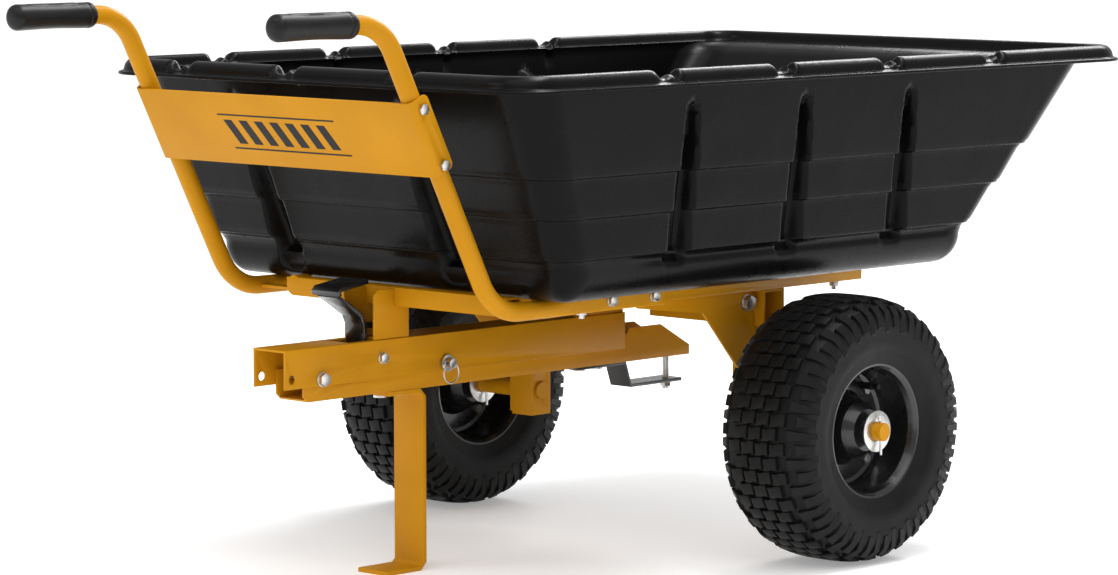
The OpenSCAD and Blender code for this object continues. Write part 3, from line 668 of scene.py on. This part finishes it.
def casing_at(s):
    """Point and outward normal on the casing at arc length s from the crown; below 0 is to -X."""
    t = abs(s)
    lo, hi = 0, len(ARC) - 1
    while hi - lo > 1:
        mid = (lo + hi) // 2
        lo, hi = (mid, hi) if ARC[mid][0] <= t else (lo, mid)
    f = (t - ARC[lo][0]) / max(ARC[hi][0] - ARC[lo][0], 1e-9)
    p = mix(ARC[lo][1], ARC[hi][1], f)
    a = ARC[max(lo - NORMAL_REACH, 0)][1]
    b = ARC[min(hi + NORMAL_REACH, len(ARC) - 1)][1]
    dr, dx = b[0] - a[0], b[1] - a[1]
    size = math.hypot(dr, dx)
    n = (dx / size, -dr / size)
    side = 1 if s >= 0 else -1
    return (p[0], p[1] * side), (n[0], n[1] * side)


def on_tyre(s, turn, height):
    """Point from the wheel's centre at a height over the casing: x across, y and z round the axis."""
    (r, x), (nr, nx) = casing_at(s)
    r, x = r + nr * height, x + nx * height
    return (x, -r * math.sin(turn), r * math.cos(turn))


LUG_FOOT = -0.8            # height of a lug's foot, just inside the casing
# A lug's levels: its foot, then heights down from its top, each with the outline's scale there
LUG_TOPS = [(1.1, 1.0), (0.3, 0.965), (0.0, 0.89)]
LUG_FOOT_SCALE = 1.06
FADE_FROM, FADE_OVER = 60, 40


def lug(verts, faces, outline, fade=0.0):
    """One tread block from its outline in (arc length, turn x radius), lower by fade at the shoulder."""
    cs = sum(p[0] for p in outline) / len(outline)
    ct = sum(p[1] for p in outline) / len(outline)
    first = len(verts)
    levels = [(LUG_FOOT, LUG_FOOT_SCALE)] + [(LUG - down, scale) for down, scale in LUG_TOPS]
    n = len(outline)
    for h, scale in levels:
        for s, t in outline:
            s2, t2 = cs + (s - cs) * scale, ct + (t - ct) * scale
            drop = fade * max(0.0, abs(s2) - FADE_FROM) / FADE_OVER
            verts.append(on_tyre(s2, t2 / TYRE_R, max(h - drop, LUG_FOOT)))
    faces.extend(side_faces(len(levels), n, first))
    top = first + (len(levels) - 1) * n
    faces.append(tuple(range(top, top + n)))
    faces.append(tuple(range(first + n - 1, first - 1, -1)))


BLOCK_GAP, BLOCK_PITCH = 3.4, 24.5
BLOCK_COLUMNS = range(-3, 4)
BLOCK_STEP = 1.6           # the step in each block's edge
BLOCK_BACK = 0.4           # share of it that the other half steps back
BLOCK_RAMP = 2.5           # half the width that the step takes
BLOCKS_TO = 59             # arc length at which the shoulder lugs take over
SHOULDER_NEAR = (62, 50)   # where a shoulder lug starts, by whether it reaches between the blocks
SHOULDER_FAR = (93, 100)   # and where it ends, in even and in odd rows
SHOULDER_INSET = 4.2
SHOULDER_BEND = 0.45       # share of its length at which it bends
SHOULDER_WIDER, SHOULDER_NARROWER = 2.2, 1.0
SHOULDER_FADE = 5.2


def tread(verts, faces):
    """Brick rows of turf blocks with a small step in each, and long shoulder lugs."""
    pitch = 2 * math.pi * TYRE_R / ROWS
    up, back = BLOCK_STEP, BLOCK_STEP * BLOCK_BACK
    for row in range(ROWS):
        t0 = row * pitch
        shift = 0.0 if row % 2 else 0.5
        for col in BLOCK_COLUMNS:
            s0 = (col + shift - 0.5) * BLOCK_PITCH + BLOCK_GAP / 2
            s1 = s0 + BLOCK_PITCH - BLOCK_GAP
            if s0 < -BLOCKS_TO or s1 > BLOCKS_TO:
                continue
            sm, a, b = (s0 + s1) / 2, t0 + BLOCK_GAP / 2, t0 + pitch - BLOCK_GAP / 2
            sl, sr = sm - BLOCK_RAMP, sm + BLOCK_RAMP
            lug(verts, faces, [(s0, a + up), (sl, a + up), (sr, a - back), (s1, a - back),
                               (s1, b - back), (sr, b - back), (sl, b + up), (s0, b + up)])
        for side in (-1, 1):
            near = SHOULDER_NEAR[row % 2 == (side > 0)] * side
            far = SHOULDER_FAR[row % 2] * side
            a, b = t0 + SHOULDER_INSET, t0 + pitch - SHOULDER_INSET
            mid = near + (far - near) * SHOULDER_BEND
            outline = [(near, a - SHOULDER_WIDER), (mid, a), (far, a + SHOULDER_NARROWER),
                       (far, b - SHOULDER_NARROWER), (mid, b), (near, b + SHOULDER_WIDER)]
            lug(verts, faces, outline if side > 0 else outline[::-1], SHOULDER_FADE)


CASING_DEG, CASING_STEP_DEG = 118, 2     # how far round the section the casing's outside goes
INSIDE_DEG, INSIDE_STEP_DEG = 110, 10    # and its inside, which is drawn in a little more
INSIDE_DROP, INSIDE_WIDTH = 2, 0.9
CASING_STEPS = 224
# Two raised lines round each sidewall: radius, height and half width
MOULD_LINES = [(142, 1.6, 1.3), (104, 1.2, 2.0)]
SIDEWALL_FROM = 40
BEAD_TOE = [(93, 6), (91, 10)]           # radius, and how far in from the sidewall's foot
BEAD_SEAT = [(100, 46), (91, 46)]        # radius, and place across


def casing(verts, faces):
    """The lathe of the tyre: crown, sidewalls with mould lines, beads, and the inside."""
    section = []
    for k in range(-CASING_DEG, CASING_DEG + 1, CASING_STEP_DEG):
        r, x = section_point(math.radians(k), LUG)
        ridge = sum(high * math.exp(-((r - at) / wide) ** 2) for at, high, wide in MOULD_LINES)
        section.append((r, x + math.copysign(ridge, x) if abs(x) > SIDEWALL_FROM else x))
    foot_x = section[-1][1]
    section += [*((r, foot_x - d) for r, d in BEAD_TOE), *BEAD_SEAT[::-1]]
    for k in range(INSIDE_DEG, -INSIDE_DEG - 1, -INSIDE_STEP_DEG):
        r, x = section_point(math.radians(k), LUG + LINER)
        section.append((r - INSIDE_DROP, x * INSIDE_WIDTH))
    section += [*((r, -x) for r, x in BEAD_SEAT), *((r, d - foot_x) for r, d in BEAD_TOE[::-1])]
    first = len(verts)
    n = len(section)
    for i in range(CASING_STEPS):
        a = 2 * math.pi * i / CASING_STEPS
        verts.extend((x, -r * math.sin(a), r * math.cos(a)) for r, x in section)
    for i in range(CASING_STEPS):
        j = (i + 1) % CASING_STEPS
        for k in range(n):
            m = (k + 1) % n
            faces.append((first + i * n + k, first + i * n + m, first + j * n + m, first + j * n + k))


def tyre(side):
    """A tyre's casing and tread in place of its CAD node."""
    node = side + "_tyre"
    lo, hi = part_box(node)
    centre = (lo + hi) / 2
    verts, faces = [], []
    casing(verts, faces)
    tread(verts, faces)
    placed = [(centre.x + x * MM, centre.y + y * MM, centre.z + z * MM) for x, y, z in verts]
    obj = add_object(node + "_tread", placed, faces, side + "_wheel", "tyre_rubber",
                     smooth_deg=32.0)
    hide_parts(node)


# ---------------------------------------------------------------- grips

GRIP_AROUND, GRIP_ALONG = 64, 90
GRIP_ROUND = 9.0           # radius of the rounded ends
GRIP_WAIST = 1.3
LINE_AT, LINE_DEPTH, LINE_HALF = 14, 1.0, 1.2    # the ring cut near the inner end
PAD_RISE = 1.2
PAD_FROM, PAD_TO, PAD_EDGE = 24, 29, 5           # room before and after the pad, and its slope
PAD_TURN = (0.42, 0.50)                          # radians from the top over which its sides slope


def grip(side):
    """Moulded grip with rounded ends, a waist and a raised pad on top."""
    node = side + "_grip"
    lo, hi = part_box(node)
    cx, cz = (lo.x + hi.x) / 2, (lo.z + hi.z) / 2
    r0 = (hi.x - lo.x) / 2 / MM
    length = (hi.y - lo.y) / MM
    verts = []
    for j in range(GRIP_ALONG + 1):
        y = length * j / GRIP_ALONG
        end = min(y, length - y)
        cap = math.sqrt(max(0.0, 1 - (1 - min(end, GRIP_ROUND) / GRIP_ROUND) ** 2))
        base = (r0 - GRIP_ROUND) + GRIP_ROUND * cap if end < GRIP_ROUND else r0
        if j == GRIP_ALONG:
            base = r0 - GRIP_ROUND
        waist = GRIP_WAIST * math.sin(math.pi * y / length) ** 2
        line = LINE_DEPTH * math.exp(-((y - length + LINE_AT) / LINE_HALF) ** 2)
        pad_here = smoothstep(PAD_FROM, PAD_FROM + PAD_EDGE, y)
        pad_here *= 1 - smoothstep(length - PAD_TO - PAD_EDGE, length - PAD_TO, y)
        for i in range(GRIP_AROUND):
            a = 2 * math.pi * i / GRIP_AROUND
            pad = pad_here * (1 - smoothstep(*PAD_TURN, abs(a - math.pi / 2)))
            r = min(base - waist - line + PAD_RISE * pad, r0)
            verts.append((cx + r * math.cos(a) * MM, lo.y + y * MM, cz + r * math.sin(a) * MM))
    last = GRIP_ALONG * GRIP_AROUND
    faces = side_faces(GRIP_ALONG + 1, GRIP_AROUND)
    faces += [tuple(range(GRIP_AROUND))[::-1], tuple(range(last, last + GRIP_AROUND))]
    obj = add_object(node + "_moulding", verts, faces, "bed", "grip_plastic", smooth_deg=40.0)
    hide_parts(node)


# ---------------------------------------------------------------- handle tubes

# Handle tube as in the CAD, with places along Y from the axle
HANDLE_LEAN = 27.2                             # degrees from upright
TUBE_R = 12.7
TUBE_X = 253
TUBE_START, TUBE_END = -926, -235
RUN_Z = TUB_FLOOR - 0.2 - TUBE_R               # height of the run under the tub
SLOPE_Y, SLOPE_Z, GRIP_Z = -698, 656, 757      # a point on the slope, and the grip's height
TUBE_BENDS = (68, 78)
BEND_PIECES = 18
PATH_STEP = 9.0
TUBE_AROUND = 40
# The end pressed flat: where it changes, half thickness, half height, place across, squareness, lift
FLAT_FROM, FLAT_FULL = -455, -398
FLAT_HALF = 3.5
FLAT_HALF_N = 11.4
FLAT_X = 261.85
FLAT_SQUARE = 0.62
FLAT_LIFT = 1.2


def bent_path(points, radii):
    """Points along a line through corners, each corner turned with its own radius."""
    out = [Vector(points[0])]
    for i in range(1, len(points) - 1):
        before, corner_at, after = (Vector(p) for p in points[i - 1:i + 2])
        a, b = (before - corner_at).normalized(), (after - corner_at).normalized()
        half = a.angle(b) / 2
        tangent = radii[i - 1] / math.tan(half)
        centre = corner_at + (a + b).normalized() * radii[i - 1] / math.sin(half)
        first = corner_at + a * tangent - centre
        turn = (math.pi - 2 * half) * (1 if first.x * b.y - first.y * b.x > 0 else -1)
        for k in range(BEND_PIECES + 1):
            angle = turn * k / BEND_PIECES
            c, s = math.cos(angle), math.sin(angle)
            out.append(centre + Vector((first.x * c - first.y * s, first.x * s + first.y * c)))
    out.append(Vector(points[-1]))
    dense = [out[0]]
    for a, b in zip(out, out[1:]):
        count = max(1, round((b - a).length / PATH_STEP))
        dense += [a + (b - a) * (k / count) for k in range(1, count + 1)]
    return dense


def handle_tube(side):
    """Bent round tube whose rear end is pressed flat against the side rail."""
    node = side + "_handle_tube"
    sign = 1 if side == "left" else -1
    slope = math.tan(math.radians(HANDLE_LEAN))
    top = (SLOPE_Y - (GRIP_Z - SLOPE_Z) * slope, GRIP_Z)
    low = (SLOPE_Y + (SLOPE_Z - RUN_Z) * slope, RUN_Z)
    path = bent_path([(TUBE_START, GRIP_Z), top, low, (TUBE_END, RUN_Z)], TUBE_BENDS)
    verts = []
    for j, p in enumerate(path):
        d = (path[min(j + 1, len(path) - 1)] - path[max(j - 1, 0)]).normalized()
        on_run = p.y < RUN_Z + 1
        flat = smoothstep(FLAT_FROM, FLAT_FULL, p.x) if on_run else 0.0
        half_x = TUBE_R + (FLAT_HALF - TUBE_R) * flat
        half_n = TUBE_R + (FLAT_HALF_N - TUBE_R) * flat
        centre_x = TUBE_X + (FLAT_X - TUBE_X) * flat
        power = 1 - FLAT_SQUARE * flat
        for i in range(TUBE_AROUND):
            a = 2 * math.pi * i / TUBE_AROUND
            c, q = math.cos(a), math.sin(a)
            x = centre_x + half_x * math.copysign(abs(c) ** power, c)
            n = half_n * math.copysign(abs(q) ** power, q)
            y, z = p.x - d.y * n, p.y + d.x * n + FLAT_LIFT * flat
            verts.append((sign * x * MM, (y + AXLE_Y) * MM, z * MM))
    last = (len(path) - 1) * TUBE_AROUND
    faces = side_faces(len(path), TUBE_AROUND)
    faces += [tuple(range(TUBE_AROUND))[::-1], tuple(range(last, last + TUBE_AROUND))]
    obj = add_object(node + "_bent", verts, faces, "bed", "yellow_paint", smooth_deg=50.0)
    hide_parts(node)


# ---------------------------------------------------------------- panel graphic

# Millimetres across from the middle, and down the plate from its top edge
PANEL_H = 108
FILM = 0.25
RULES = [(31, -116), (82, -106)]    # place down the plate, and left end
RULE_LENGTH, RULE_WIDTH = 226, 2.4
BAR_COUNT, BAR_FIRST, BAR_PITCH = 7, -108, 30
BAR_TOP, BAR_FOOT = 40, 76
BAR_WIDTH, BAR_SLANT = 16, 16


def box_mesh(verts, faces, corners_front, depth):
    """Thin plate from four corners and a depth vector."""
    first = len(verts)
    verts.extend(tuple(c) for c in corners_front)
    verts.extend(tuple(Vector(c) + depth) for c in corners_front)
    n = len(corners_front)
    faces.append(tuple(range(first, first + n)))
    faces.append(tuple(range(first + n, first + 2 * n))[::-1])
    for i in range(n):
        k = (i + 1) % n
        faces.append((first + i, first + n + i, first + n + k, first + k))


def panel_graphic():
    """Two thin rules and a row of plain slanted bars, as a printed film on the front plate."""
    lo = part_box("handle_panel")[0]
    lean = math.radians(HANDLE_LEAN)
    down = Vector((0, math.sin(lean), -math.cos(lean)))
    out = Vector((0, down.z, -down.y))
    top_line = Vector((0, lo.y, lo.z)) - Vector((0, 0, down.z)) * (PANEL_H * MM)

    def at(x, drop):
        return top_line + Vector((x * MM, 0, 0)) + down * (drop * MM)

    def strip(x, drop0, drop1, width, slant):
        """A strip between two heights whose foot is shifted by slant."""
        box_mesh(verts, faces, [at(x, drop0), at(x + width, drop0),
                                at(x + slant + width, drop1), at(x + slant, drop1)], film)

    verts, faces = [], []
    film = out * (FILM * MM)
    for drop, x in RULES:
        strip(x, drop, drop + RULE_WIDTH, RULE_LENGTH, 0)
    for k in range(BAR_COUNT):
        strip(BAR_FIRST + BAR_PITCH * k, BAR_TOP, BAR_FOOT, BAR_WIDTH, BAR_SLANT)
    add_object("panel_bars", verts, faces, "bed", "valve_rubber")


# ---------------------------------------------------------------- frame parts

# CAD nodes shown with rounded edges, and the rounding's width in millimetres
SOFT_NODES = {
    "handle_panel": 0.9, "right_side_rail": 0.7, "left_side_rail": 0.7, "front_cross_member": 1.2,
    "latch_bracket": 0.8, "axle_beam": 1.2, "right_axle_bracket": 0.9, "left_axle_bracket": 0.9,
    "drawbar_sleeve": 1.1, "pivot_beam": 0.8, "drawbar": 1.1, "stand_leg": 1.6, "hitch_bracket": 0.9,
    "latch_lever": 0.9, "panel_bolts": 0.5, "rail_bolts": 0.5, "tub_bolts": 0.5, "pivot_bolts": 0.6,
    "beam_bolts": 0.5, "lever_bolt": 0.5, "fold_bolt": 0.7, "lock_pin": 0.6, "hitch_screws": 0.5,
    "hitch_pin": 0.5, "leg_bolts": 0.5, "axle_washers": 0.4,
}


# ---------------------------------------------------------------- stage, light and camera

FLOOR_SIZE = 140
LENS, SENSOR = 133.7, 36.0
CAMERA_AT = (4.0320, -4.2054, 0.9637)
CAMERA_AZIMUTH, CAMERA_ELEVATION, CAMERA_ROLL = 43.898, 5.901, -0.054
CAMERA_REACH = 300


def stage():
    bpy.ops.mesh.primitive_plane_add(size=FLOOR_SIZE, location=(0, 0, 0))
    floor = bpy.context.object
    floor.name = "studio_floor"
    floor.data.materials.append(floor_material())


def area_light(name, place, target, size, watts):
    """A softbox at a place, facing a target."""
    light = bpy.data.lights.new(name, "AREA")
    light.shape = "RECTANGLE"
    light.size, light.size_y = size
    light.energy = watts
    obj = bpy.data.objects.new(name, light)
    bpy.context.scene.collection.objects.link(obj)
    obj.location = place
    obj.rotation_euler = (Vector(target) - Vector(place)).to_track_quat("-Z", "Y").to_euler()


def sun(direction, strength, spread):
    """Broad even daylight from a direction, the same over the whole floor."""
    light = bpy.data.lights.new("sun", "SUN")
    light.energy = strength
    light.angle = math.radians(spread)
    obj = bpy.data.objects.new("sun", light)
    bpy.context.scene.collection.objects.link(obj)
    obj.rotation_euler = Vector(direction).to_track_quat("Z", "Y").to_euler()


def lights():
    """White surroundings, broad daylight from above the camera, and three softboxes for edges."""
    world = bpy.data.worlds.new("studio")
    bpy.context.scene.world = world
    world.use_nodes = True
    background = world.node_tree.nodes["Background"]
    background.inputs["Color"].default_value = (1, 1, 1, 1)
    background.inputs["Strength"].default_value = 0.60
    sun((0.34, -0.30, 0.9), 1.25, 60)
    area_light("key", (-1.6, -4.2, 3.6), (0, -0.2, 0.4), (2.6, 1.0), 30)
    area_light("rim_light", (-1.5, 4.2, 3.2), (0, 0.2, 0.6), (3.0, 0.8), 110)
    area_light("top", (0.3, 0.9, 3.4), (0, 0.5, 0.5), (2.4, 0.5), 75)


def camera():
    """The photo's view: 43.9 degrees round from the front, 5.9 degrees down, through a long lens."""
    data = bpy.data.cameras.new("camera")
    data.lens = LENS
    data.sensor_width = SENSOR
    data.clip_end = CAMERA_REACH
    obj = bpy.data.objects.new("camera", data)
    bpy.context.scene.collection.objects.link(obj)
    tilt = math.pi / 2 - math.radians(CAMERA_ELEVATION)
    turn = Matrix.Rotation(math.radians(CAMERA_AZIMUTH), 4, "Z") @ Matrix.Rotation(tilt, 4, "X")
    roll = Matrix.Rotation(math.radians(CAMERA_ROLL), 4, "Z")
    obj.matrix_world = Matrix.Translation(CAMERA_AT) @ turn @ roll
    bpy.context.scene.camera = obj


camera()
tub()
for side_name in ("left", "right"):
    tyre(side_name)
    grip(side_name)
    handle_tube(side_name)
panel_graphic()
for node_name, width in SOFT_NODES.items():
    soften(node_name, width)
stage()
lights()
bpy.context.scene.view_settings.view_transform = "Standard"
